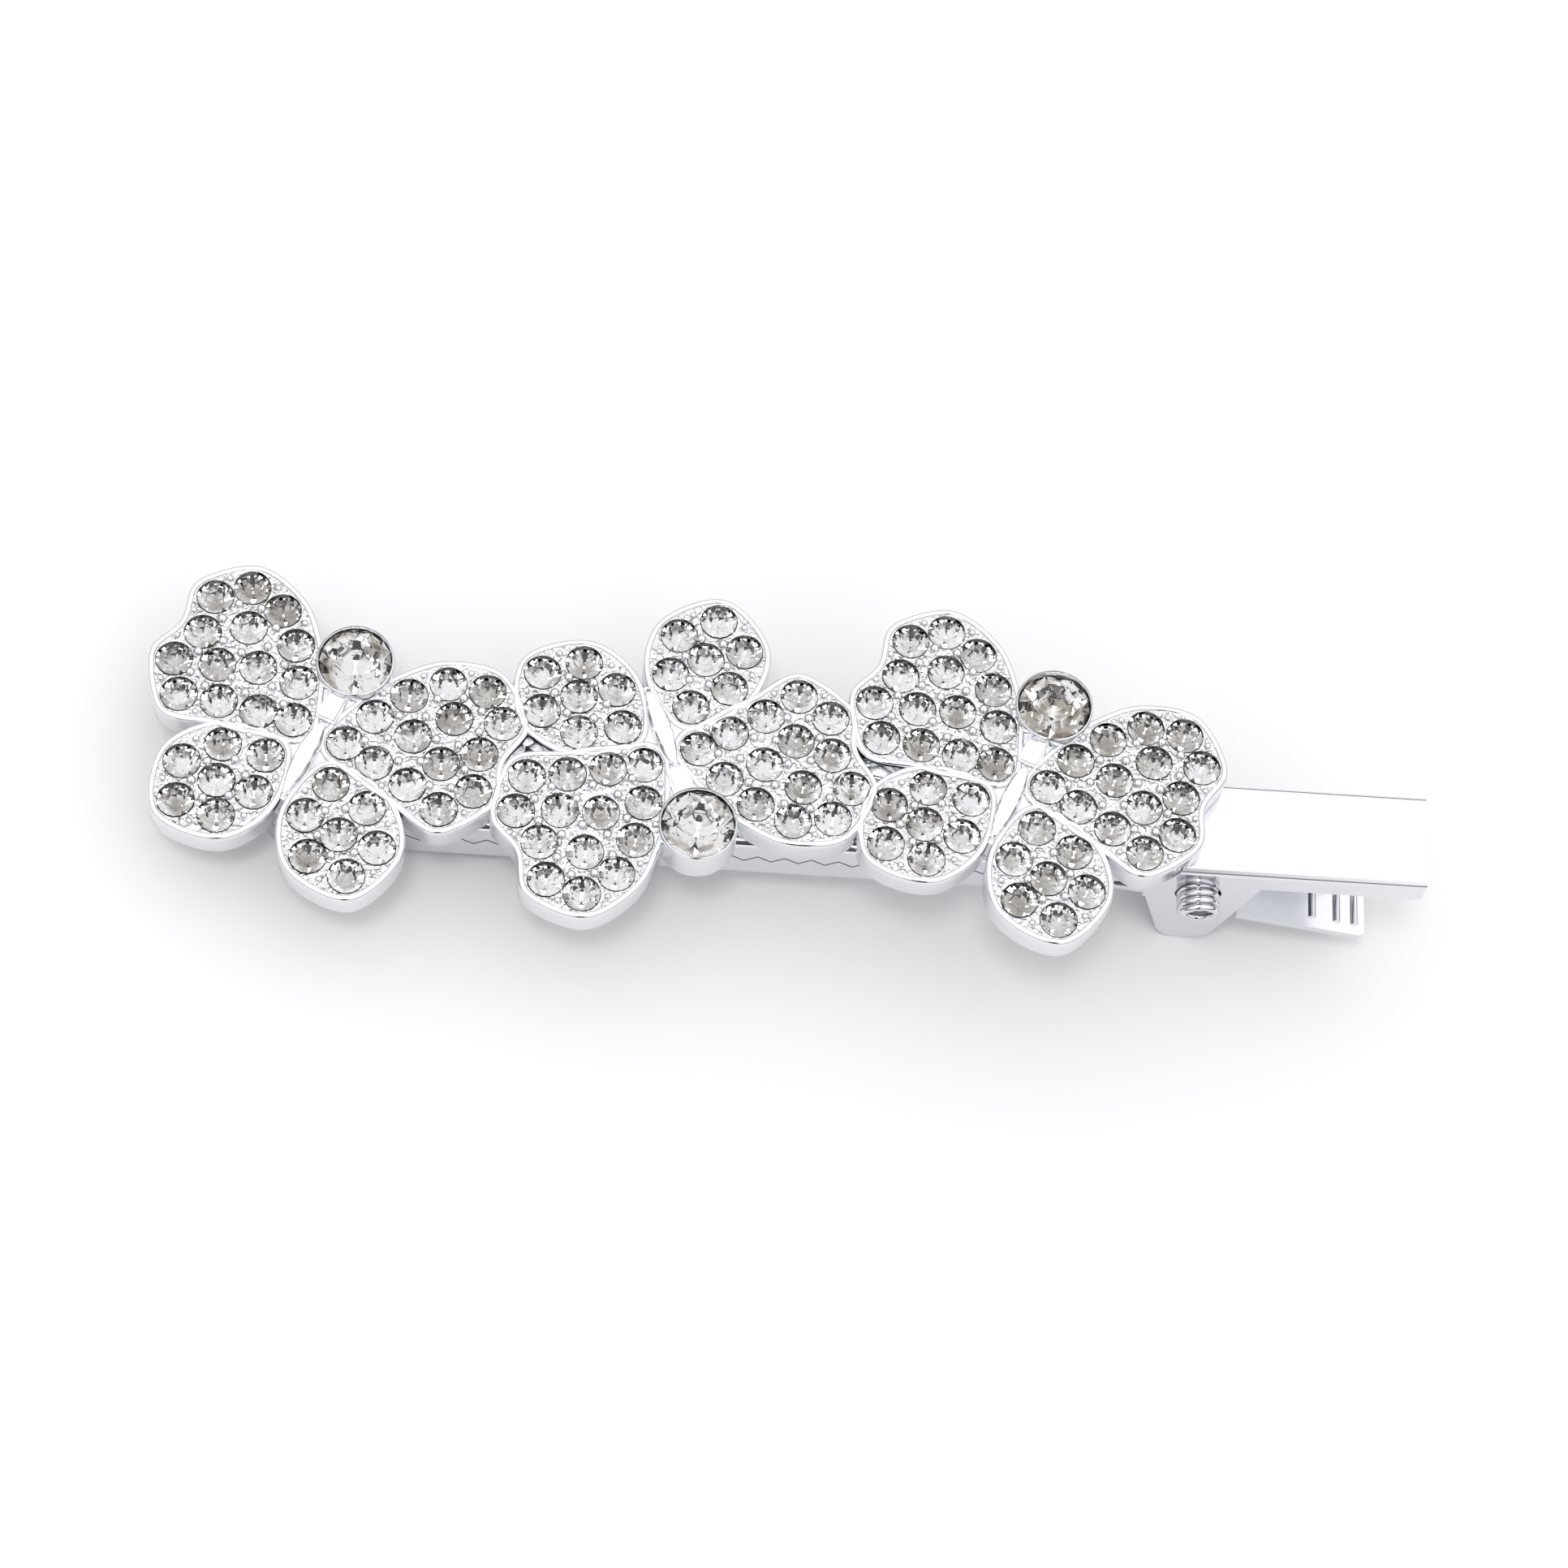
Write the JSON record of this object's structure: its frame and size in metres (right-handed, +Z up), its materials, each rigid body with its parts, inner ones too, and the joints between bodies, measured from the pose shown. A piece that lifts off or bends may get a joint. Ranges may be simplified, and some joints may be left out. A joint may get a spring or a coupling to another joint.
{
  "type": "rhinestone hair clip",
  "caption": "Sprung metal hair clip with a toothed jaw and finger lever, its plate topped by joined butterflies set with round glass stones.",
  "frame": {"origin": "centre of the part's box, on the surface that it lies on", "axes": "+Z up out of the decorated face, +X along the clip towards the finger lever, +Y across the clip, along the hinge axis"},
  "size_m": [0.0704, 0.0198, 0.0116],
  "materials": {
    "plated_steel": "bright silver plating on pressed steel",
    "spring_wire": "bright plated spring wire",
    "plated_casting": "bright silver plating on a cast alloy",
    "small_crystal": "clear foil-backed glass stones",
    "large_crystal": "clear foil-backed glass stone",
    "adhesive": "set clear adhesive"
  },
  "bodies": {
    "upper_body": {"upper_arm": "plated_steel", "torsion_spring": "spring_wire", "butterfly_casting": "plated_casting", "butterfly_1_right_forewing_stones": "small_crystal", "butterfly_1_left_forewing_stones": "small_crystal", "butterfly_1_right_hindwing_stones": "small_crystal", "butterfly_1_left_hindwing_stones": "small_crystal", "butterfly_2_right_forewing_stones": "small_crystal", "butterfly_2_left_forewing_stones": "small_crystal", "butterfly_2_right_hindwing_stones": "small_crystal", "butterfly_2_left_hindwing_stones": "small_crystal", "butterfly_3_right_forewing_stones": "small_crystal", "butterfly_3_left_forewing_stones": "small_crystal", "butterfly_3_right_hindwing_stones": "small_crystal", "butterfly_3_left_hindwing_stones": "small_crystal", "butterfly_1_head_stone": "large_crystal", "butterfly_2_head_stone": "large_crystal", "butterfly_3_head_stone": "large_crystal", "butterfly_1_adhesive": "adhesive", "butterfly_2_adhesive": "adhesive", "butterfly_3_adhesive": "adhesive"},
    "lower_body": {"lower_arm": "plated_steel"}
  },
  "joints": [
    {"name": "jaw_hinge", "type": "hinge", "parent": "upper_body", "child": "lower_body", "pos_m": [0.02321, -0.00147, 0.00647], "axis": [0, -1, 0], "range_deg": [0, 25], "stiffness_Nm_per_rad": 0.05, "springref_deg": -57.3, "deforming": ["torsion_spring"]}
  ]
}
